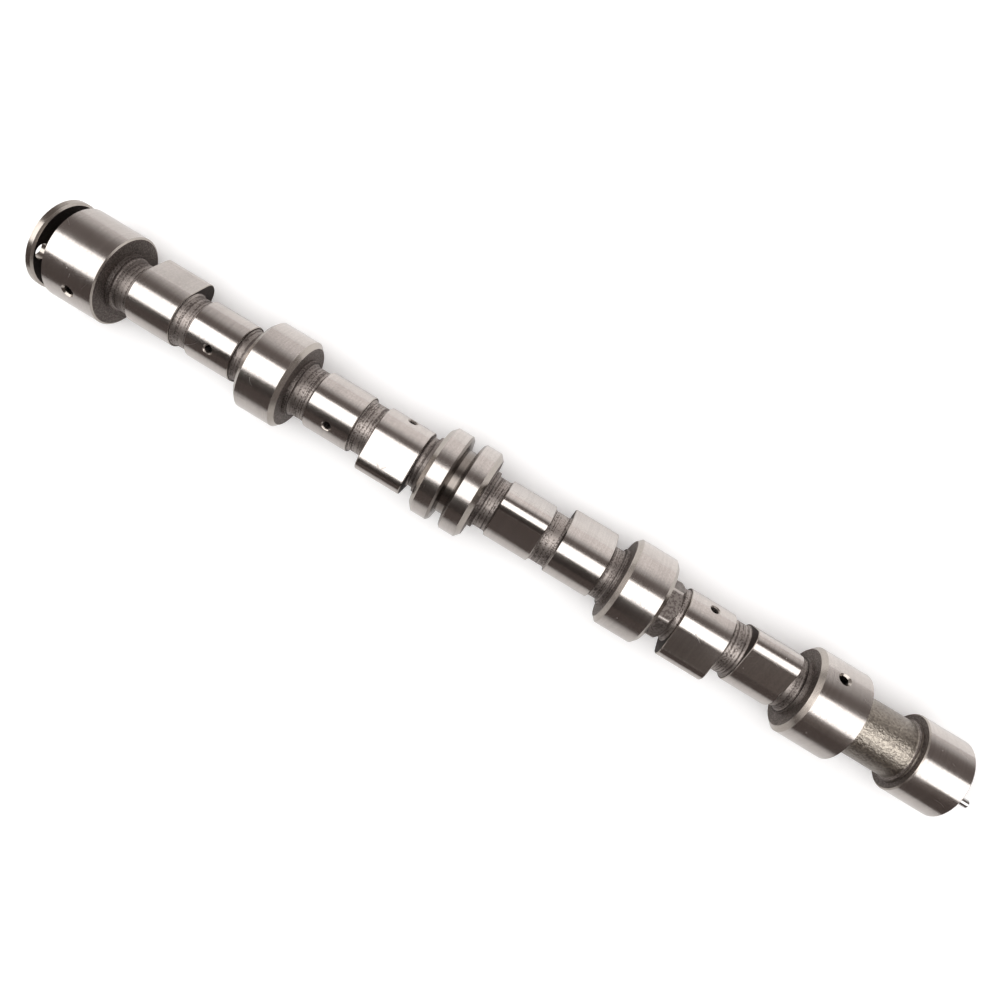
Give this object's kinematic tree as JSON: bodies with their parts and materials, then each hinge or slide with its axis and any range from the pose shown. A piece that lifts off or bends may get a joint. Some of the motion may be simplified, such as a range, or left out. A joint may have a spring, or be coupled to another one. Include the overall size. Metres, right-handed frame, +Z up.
{
  "type": "camshaft",
  "caption": "Cast overhead camshaft with graded bearing journals, hidden oil gallery, thrust flange, wrench hexagon and a dowel in the drive end.",
  "frame": {"origin": "middle of the whole length, under the shaft's axis, on the surface that the shaft lies on", "axes": "+X along the shaft towards the drive end, +Z up, so +Y is to the left of the drive end's direction"},
  "size_m": [0.435, 0.0404, 0.0404],
  "materials": {
    "casting": "ground bright on the journals and lobes, as cast on the necks",
    "dowel": "ground",
    "plug": "pressed, satin"
  },
  "bodies": {
    "root": {"camshaft": "casting", "dowel_pin": "dowel", "gallery_plug": "plug"}
  },
  "joints": []
}
